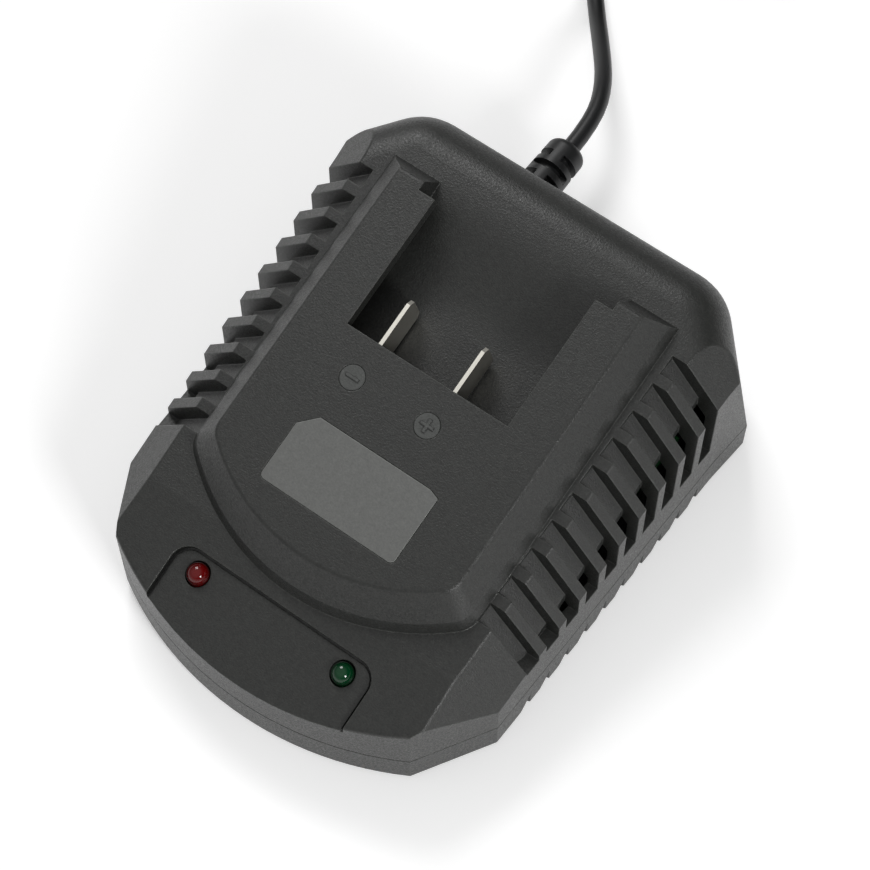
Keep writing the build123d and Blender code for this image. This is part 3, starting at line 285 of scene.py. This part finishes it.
def plated_metal(name, tint, sizes, roughness=0.25):
    """Rolled or drawn metal, plated or bare: bright, with faint lines along the rolling."""
    material, tree, shader = new_material(name)
    place = add(tree, "ShaderNodeTexCoord").outputs["Object"]
    stretch = add(tree, "ShaderNodeMapping", {"Vector": place, "Scale": (1.0, ROLLING_STRETCH, 1.0)})
    lines = add(tree, "ShaderNodeTexNoise", {
        "Vector": stretch.outputs[0], "Scale": 1 / sizes.rolling_line, "Detail": 2.0}).outputs["Fac"]
    rough = add(tree, "ShaderNodeMapRange", {
        "Value": lines, "To Min": roughness - LINE_SMOOTHER, "To Max": roughness + LINE_ROUGHER})
    scratch = add(tree, "ShaderNodeBump", {"Height": lines, "Strength": 0.25, "Distance": ROLLING_DEPTH})
    feed(tree, shader, {"Base Color": tint, "Metallic": 1.0, "Roughness": rough.outputs[0],
                        "Normal": scratch.outputs[0]})
    return material


def lamp_epoxy(name, tint, sizes):
    """Cast epoxy of an indicator lamp: deep colour with painted shade that darkens it towards the rim, with a
    glossy skin.
    """
    material, tree, shader = new_material(name)
    place = add(tree, "ShaderNodeTexCoord").outputs["Object"]
    haze = add(tree, "ShaderNodeTexNoise", {
        "Vector": place, "Scale": 1 / sizes.lamp_patch, "Detail": 1.0}).outputs["Fac"]
    rough = add(tree, "ShaderNodeMapRange", {"Value": haze, "To Min": LAMP_CLEAR, "To Max": LAMP_HAZY})
    # painted shade: the colour darkens where the skin turns from the eye, for the dark that the rim reflects
    skin = add(tree, "ShaderNodeLayerWeight", {"Blend": 0.35})
    painted_rim_shade = add(tree, "ShaderNodeMapRange", {
        "Value": skin.outputs["Facing"], "From Max": LAMP_RIM, "To Min": 1.0, "To Max": LAMP_RIM_SHADE},
        interpolation_type="SMOOTHSTEP")
    tinted = add(tree, "ShaderNodeVectorMath", {0: painted_rim_shade.outputs[0], 1: tint[:3]}, operation="MULTIPLY")
    feed(tree, shader, {"Base Color": tinted.outputs[0], "Roughness": rough.outputs[0], "IOR": EPOXY_IOR})
    return material


# ---------------------------------------------------------------- housing, contacts and circuit
class CHARGER_OT_housing(bpy.types.Operator):
    """Finish the two housing shells"""

    bl_idname = "charger.housing"
    bl_label = "Housing"

    def execute(self, context):
        sizes, colours = context.scene.charger_sizes, context.scene.charger_colours
        paint(moulded_abs("textured charcoal ABS", colours.housing, sizes), "upper_housing", "lower_housing")
        return {"FINISHED"}


class CHARGER_OT_label(bpy.types.Operator):
    """Finish the blank label and the polarity badges"""

    bl_idname = "charger.label"
    bl_label = "Label and badges"

    def execute(self, context):
        sizes, colours = context.scene.charger_sizes, context.scene.charger_colours
        # the plate's rounded edges get a painted highlight, and the badges' a negative one that darkens them
        plate = moulded_abs("satin label plate", colours.label, sizes,
                            roughness=0.42, bump=0.35, speckle=0.3, painted_edge_light=0.6)
        badge = moulded_abs("badge ABS", colours.badge, sizes,
                            roughness=0.45, bump=0.8, speckle=0.5, painted_edge_light=-0.45)
        paint(plate, "label_plate")
        paint(badge, "minus_badge", "plus_badge")
        return {"FINISHED"}


class CHARGER_OT_indicators(bpy.types.Operator):
    """Finish the two indicator lamps"""

    bl_idname = "charger.indicators"
    bl_label = "Indicator lamps"

    def execute(self, context):
        sizes, colours = context.scene.charger_sizes, context.scene.charger_colours
        paint(lamp_epoxy("red epoxy", colours.red_lamp, sizes), "red_led")
        paint(lamp_epoxy("green epoxy", colours.green_lamp, sizes), "green_led")
        return {"FINISHED"}


class CHARGER_OT_contacts(bpy.types.Operator):
    """Finish the contact blades and their block"""

    bl_idname = "charger.contacts"
    bl_label = "Contacts"

    def execute(self, context):
        sizes, colours = context.scene.charger_sizes, context.scene.charger_colours
        plate = plated_metal("nickel plate", colours.contact, sizes, roughness=0.36)
        paint(plate, "negative_terminal", "positive_terminal", "plug_pins")
        paint(smooth_plastic("moulded nylon", linear("#202122"), sizes, roughness=0.4), "terminal_block")
        return {"FINISHED"}


class CHARGER_OT_circuit(bpy.types.Operator):
    """Finish the circuit board, what stands on it, the wires and the screws"""

    bl_idname = "charger.circuit"
    bl_label = "Circuit"

    def execute(self, context):
        sizes, colours = context.scene.charger_sizes, context.scene.charger_colours
        paint(smooth_plastic("solder mask", colours.board, sizes, 0.3), "circuit_board")
        paint(smooth_plastic("sintered ferrite", linear("#2A2B2D"), sizes, 0.6), "transformer_core")
        paint(smooth_plastic("polyester tape", linear("#8A6C1A"), sizes, 0.3), "transformer_winding")
        paint(smooth_plastic("shrink sleeve", linear("#14161C"), sizes, 0.25),
              "bulk_capacitor", "output_capacitors")
        paint(smooth_plastic("enamelled copper", linear("#A3541E"), sizes, 0.25), "mains_choke")
        paint(smooth_plastic("moulded capacitor box", linear("#8F6A22"), sizes, 0.4), "film_capacitor")
        paint(smooth_plastic("moulding compound", linear("#161617"), sizes, 0.5),
              "bridge_rectifier", "switching_transistor", "optocoupler", "control_chips")
        paint(plated_metal("extruded aluminium", linear("#C4C6C8"), sizes, 0.4), "heat_sink")
        paint(smooth_plastic("fuse glass", linear("#7E8685"), sizes, 0.1, 0.02), "mains_fuse")
        paint(smooth_plastic("blue PVC", linear("#22406F"), sizes, 0.35), "mains_wires")
        paint(smooth_plastic("red PVC", linear("#8A1A1A"), sizes, 0.35), "output_leads")
        paint(plated_metal("zinc plate", linear("#B5B6B4"), sizes, 0.35),
              "board_screws", "housing_screws", "clamp_screws")
        paint(smooth_plastic("clamp nylon", linear("#2B2C2D"), sizes, 0.4), "cord_clamp")
        return {"FINISHED"}


class CHARGER_OT_feet(bpy.types.Operator):
    """Finish the rubber feet"""

    bl_idname = "charger.feet"
    bl_label = "Feet"

    def execute(self, context):
        sizes, colours = context.scene.charger_sizes, context.scene.charger_colours
        paint(smooth_plastic("moulded rubber", colours.rubber, sizes, roughness=0.7), "rubber_feet")
        return {"FINISHED"}


# ---------------------------------------------------------------- plug ribs
def rib_tree(material):
    """Node tree: a row of round-backed ribs along X, each lying along Y, and its inputs' identifiers."""
    tree = bpy.data.node_groups.new("grip ribs", "GeometryNodeTree")
    kinds = {"Count": "NodeSocketInt", "Pitch": "NodeSocketFloat", "Length": "NodeSocketFloat",
             "Radius": "NodeSocketFloat"}
    sockets = {name: tree.interface.new_socket(name, in_out="INPUT", socket_type=kind).identifier
               for name, kind in kinds.items()}
    tree.interface.new_socket("Geometry", in_out="OUTPUT", socket_type="NodeSocketGeometry")
    given = add(tree, "NodeGroupInput").outputs
    step = add(tree, "ShaderNodeCombineXYZ", {"X": given["Pitch"]})
    row = add(tree, "GeometryNodeMeshLine", {"Count": given["Count"], "Offset": step.outputs[0]})
    reach = add(tree, "ShaderNodeCombineXYZ", {"Y": given["Length"]})
    line = add(tree, "GeometryNodeCurvePrimitiveLine", {"End": reach.outputs[0]})
    section = add(tree, "GeometryNodeCurvePrimitiveCircle", {"Radius": given["Radius"], "Resolution": 20})
    rib = add(tree, "GeometryNodeCurveToMesh", {
        "Curve": line.outputs[0], "Profile Curve": section.outputs[0], "Fill Caps": True})
    ribs = add(tree, "GeometryNodeInstanceOnPoints", {"Points": row.outputs[0], "Instance": rib.outputs[0]})
    solid = add(tree, "GeometryNodeRealizeInstances", {"Geometry": ribs.outputs[0]})
    finish = add(tree, "GeometryNodeSetMaterial", {"Geometry": solid.outputs[0], "Material": material})
    add(tree, "NodeGroupOutput", {"Geometry": finish.outputs[0]})
    return tree, sockets


def grown(name, tree, sockets, values, corner):
    """Bakes a node tree with these inputs into a plain mesh whose corner lies at a place."""
    seed = linked(name + "_seed", bpy.data.meshes.new(name + "_seed"))
    modifier = seed.modifiers.new("grow", "NODES")
    modifier.node_group = tree
    for key, value in values.items():
        modifier[sockets[key]] = value
    ready = seed.evaluated_get(bpy.context.evaluated_depsgraph_get())
    mesh = bpy.data.meshes.new_from_object(ready)
    seed.modifiers.remove(modifier)
    bpy.data.objects.remove(seed)
    mesh.transform(Matrix.Translation(corner))
    return linked(name, mesh)


class CHARGER_OT_plug_ribs(bpy.types.Operator):
    """Put the finger ribs on the plug"""

    bl_idname = "charger.plug_ribs"
    bl_label = "Plug ribs"

    def execute(self, context):
        sizes, colours = context.scene.charger_sizes, context.scene.charger_colours
        low, high = (Vector(corner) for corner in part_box("plug_body"))
        tree, sockets = rib_tree(smooth_plastic("black PVC, ribs", colours.cord, sizes, roughness=0.42))
        row = (sizes.rib_count - 1) * sizes.rib_pitch
        corner = (high.x - sizes.rib_margin - row, (low.y + high.y - sizes.rib_length) / 2,
                  high.z - sizes.rib_radius / 2)
        values = {"Count": sizes.rib_count, "Pitch": sizes.rib_pitch, "Length": sizes.rib_length,
                  "Radius": sizes.rib_radius}
        ribs = grown("plug_ribs", tree, sockets, values, corner)
        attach(ribs, "root")
        return {"FINISHED"}


# ---------------------------------------------------------------- mains lead
# points given in millimetres, from the strain relief to the coil
CORD_ROUTE = ((-18.7, 84.1, 16.2), (-18.7, 94.1, 16.2), (-23.2, 105.2, 14.2), (-32.6, 118.1, 7.4),
              (-41.2, 129.1, 2.2), (-55.0, 146.7, 2.2), (-68.6, 163.9, 2.2))
# the turns of the coil in the order in which they are wound: column from the outside, layer from the floor
COIL_CELLS = ((0, 0), (1, 0), (2, 0), (3, 0), (3, 1), (3, 2),
              (2, 2), (2, 1), (1, 1), (1, 2), (0, 2), (0, 1))
SHIFT = math.tau / 4            # a turn moves to its next place over a quarter of the circle
# points of the straight lead as shares of its length: the last one lies inside the plug
PLUG_LEAD_SHARES = (1 / 3, 2 / 3, 1.05)


def coil_shifts():
    """Where along the winding each shift starts: early in a new direction, while the next place is free."""
    moves = zip(COIL_CELLS, COIL_CELLS[1:])
    steps = [(after[0] - before[0], after[1] - before[1]) for before, after in moves]
    starts = [math.tau - SHIFT]
    for before, after in zip(steps, steps[1:]):
        starts.append(starts[-1] + math.tau - (0 if before == after else SHIFT))
    return starts


def coil_cell(swept, shifts):
    """Column and layer after this much winding."""
    column, layer = COIL_CELLS[0]
    for start, before, after in zip(shifts, COIL_CELLS, COIL_CELLS[1:]):
        share = min(max((swept - start) / SHIFT, 0.0), 1.0)
        eased = share * share * (3 - 2 * share)
        column += (after[0] - before[0]) * eased
        layer += (after[1] - before[1]) * eased
    return column, layer


def coil_turns(sizes, start):
    """The turns of the coil, wound clockwise from the point where the lead comes in."""
    columns = max(column for column, layer in COIL_CELLS)
    outer = sizes.coil_radius + sizes.coil_pitch * columns / 2
    centre = start - outer * Vector((math.cos(sizes.coil_entry), math.sin(sizes.coil_entry), 0))
    shifts = coil_shifts()
    turns = math.floor((shifts[-1] + SHIFT) / math.tau)
    sweep = turns * math.tau + sizes.coil_entry - sizes.coil_exit
    steps = round(sweep / math.tau * sizes.coil_points)
    points = []
    for step in range(1, steps + 1):
        swept = sweep * step / steps
        column, layer = coil_cell(swept, shifts)
        radius = outer - column * sizes.coil_pitch
        way = sizes.coil_entry - swept
        rise = layer * sizes.coil_pitch
        points.append(centre + Vector((radius * math.cos(way), radius * math.sin(way), rise)))
    return points


def cord_points(sizes):
    """The lead's line: the route, the turns of the coil, and the straight end in the plug."""
    points = [Vector(place) * MM for place in CORD_ROUTE]
    points += coil_turns(sizes, points[-1])
    last = points[-1]
    along = Vector((math.sin(sizes.coil_exit), -math.cos(sizes.coil_exit), 0))
    plug_low, plug_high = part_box("plug_body")
    rise = (plug_low[2] + plug_high[2]) / 2 - last.z
    for share in PLUG_LEAD_SHARES:
        points.append(last + along * sizes.plug_lead * share + Vector((0, 0, rise * min(share, 1.0))))
    return points


def round_cord(name, points, width, material):
    """A cord along points, as one smooth curve with a round section."""
    curve = bpy.data.curves.new(name, "CURVE")
    curve.dimensions = "3D"
    curve.resolution_u = 4
    curve.bevel_depth = width / 2
    curve.bevel_resolution = 6
    curve.use_fill_caps = True
    curve.materials.append(material)
    spline = curve.splines.new("NURBS")
    spline.points.add(len(points) - 1)
    for control, place in zip(spline.points, points):
        control.co = (*place, 1.0)
    spline.order_u = 3
    spline.use_endpoint_u = True
    return linked(name, curve)


class CHARGER_OT_mains_lead(bpy.types.Operator):
    """Lay the mains lead and its coil, and finish its plug, tie and boot"""

    bl_idname = "charger.mains_lead"
    bl_label = "Mains lead"

    def execute(self, context):
        sizes, colours = context.scene.charger_sizes, context.scene.charger_colours
        pvc = smooth_plastic("black PVC", colours.cord, sizes, roughness=0.42)
        paint(pvc, "strain_relief", "cord_tail", "coil_tie", "plug_body")
        cord = round_cord("mains_lead", cord_points(sizes), sizes.cord_width, pvc)
        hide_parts("mains_cord", "cord_coil", "plug_lead")
        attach(cord, "root")
        return {"FINISHED"}


# ---------------------------------------------------------------- studio
SENSOR_WIDTH = 36.0             # millimetres, what the focal length goes with
NEAREST = 10 * MM               # the camera sees nothing nearer


def seen_directly(tree):
    """One for what the camera sees, also in metal and through glass, and nought for what only gives light."""
    path = add(tree, "ShaderNodeLightPath").outputs
    straight = add(tree, "ShaderNodeMath", {
        0: path["Is Camera Ray"], 1: path["Is Glossy Ray"]}, operation="MAXIMUM")
    seen = add(tree, "ShaderNodeMath", {
        0: straight.outputs[0], 1: path["Is Transmission Ray"]}, operation="MAXIMUM")
    return seen.outputs[0]


def seamless_paper(tint, glow):
    """Pale seamless paper that stays white to the camera and keeps the shadow."""
    material, tree, shader = new_material("seamless paper")
    lift = add(tree, "ShaderNodeMath", {0: seen_directly(tree), 1: glow}, operation="MULTIPLY")
    feed(tree, shader, {"Base Color": tint, "Roughness": 0.9, "Emission Color": WHITE,
                        "Emission Strength": lift.outputs[0]})
    return material


def studio_floor(half, material):
    """A square floor that reaches half its side each way from the charger."""
    sheet = bmesh.new()
    corners = ((-half, -half, 0.0), (half, -half, 0.0), (half, half, 0.0), (-half, half, 0.0))
    sheet.faces.new([sheet.verts.new(corner) for corner in corners])
    mesh = bpy.data.meshes.new("studio_floor")
    sheet.to_mesh(mesh)
    sheet.free()
    mesh.materials.append(material)
    return linked("studio_floor", mesh)


def soft_room(studio):
    """World: dark walls, a bright ceiling that leans over, and a low pale backdrop that only shows."""
    world = bpy.data.worlds.new("soft room")
    world.use_nodes = True
    room = world.node_tree
    way = add(room, "ShaderNodeTexCoord").outputs["Generated"]
    upward = Vector(studio.lean).normalized()
    height = add(room, "ShaderNodeVectorMath", {0: way, 1: upward}, operation="DOT_PRODUCT")
    ceiling = add(room, "ShaderNodeMapRange", {
        "Value": height.outputs["Value"], "From Min": studio.wall_top, "From Max": studio.ceiling_edge,
        "To Min": studio.wall_light, "To Max": studio.ceiling_light}, interpolation_type="SMOOTHSTEP")
    level = add(room, "ShaderNodeSeparateXYZ", {"Vector": way}).outputs["Z"]
    band = add(room, "ShaderNodeMapRange", {
        "Value": level, "From Min": studio.backdrop_top, "From Max": studio.backdrop_full,
        "To Max": studio.backdrop}, interpolation_type="SMOOTHSTEP")
    backdrop = add(room, "ShaderNodeMath", {0: band.outputs[0], 1: seen_directly(room)}, operation="MULTIPLY")
    light = add(room, "ShaderNodeMath", {0: ceiling.outputs[0], 1: backdrop.outputs[0]}, operation="MAXIMUM")
    feed(room, room.nodes["Background"], {"Color": WHITE, "Strength": light.outputs[0]})
    return world


def soft_box(name, place, size, power):
    """A square soft box that looks at the charger."""
    light = bpy.data.lights.new(name, "AREA")
    light.shape = "SQUARE"
    light.size = size
    light.energy = power
    lamp = linked(name, light)
    lamp.location = place
    lamp.rotation_euler = (-Vector(place)).to_track_quat("-Z", "Y").to_euler()


def studio_camera(studio):
    """The camera, level, with its own height angle and turn."""
    view = bpy.data.cameras.new("camera")
    view.sensor_width = SENSOR_WIDTH
    view.lens = studio.lens
    view.clip_start = NEAREST
    camera = linked("camera", view)
    camera.location = studio.camera_place
    camera.rotation_euler = (math.pi / 2 - studio.elevation, 0.0, studio.azimuth)
    return camera


class CHARGER_OT_stage(bpy.types.Operator):
    """Set the floor, the soft lights and the camera"""

    bl_idname = "charger.stage"
    bl_label = "Studio"

    def execute(self, context):
        scene = context.scene
        studio = scene.charger_studio
        paper = seamless_paper(scene.charger_colours.floor, studio.floor_glow)
        floor = studio_floor(studio.floor_side / 2, paper)
        scene.world = soft_room(studio)
        soft_box("key soft box", studio.key_place, studio.key_size, studio.key)
        soft_box("fill soft box", studio.fill_place, studio.fill_size, studio.fill)
        scene.camera = studio_camera(studio)
        scene.view_settings.view_transform = "Standard"
        return {"FINISHED"}


# ---------------------------------------------------------------- panel and run
PIECES = (CHARGER_OT_housing, CHARGER_OT_label, CHARGER_OT_indicators, CHARGER_OT_contacts,
          CHARGER_OT_circuit, CHARGER_OT_feet, CHARGER_OT_plug_ribs, CHARGER_OT_mains_lead, CHARGER_OT_stage)
SETTINGS = (ChargerSizes, ChargerColours, StudioSettings)


class CHARGER_PT_sidebar(bpy.types.Panel):
    """Lists the charger's pieces"""

    bl_idname = "CHARGER_PT_sidebar"
    bl_label = "Charger"
    bl_space_type = "VIEW_3D"
    bl_region_type = "UI"
    bl_category = "Charger"

    def draw(self, context):
        for piece in PIECES:
            self.layout.operator(piece.bl_idname)


def register():
    """Adds the settings, the operators and the panel."""
    for kind in SETTINGS + PIECES + (CHARGER_PT_sidebar,):
        bpy.utils.register_class(kind)
    bpy.types.Scene.charger_sizes = PointerProperty(type=ChargerSizes)
    bpy.types.Scene.charger_colours = PointerProperty(type=ChargerColours)
    bpy.types.Scene.charger_studio = PointerProperty(type=StudioSettings)


def unregister():
    """Takes away what register adds."""
    del bpy.types.Scene.charger_studio
    del bpy.types.Scene.charger_colours
    del bpy.types.Scene.charger_sizes
    for kind in reversed(SETTINGS + PIECES + (CHARGER_PT_sidebar,)):
        bpy.utils.unregister_class(kind)


def main():
    """Runs every operator in order."""
    register()
    for piece in PIECES:
        group, name = piece.bl_idname.split(".")
        getattr(getattr(bpy.ops, group), name)()


if __name__ == "__main__":
    main()
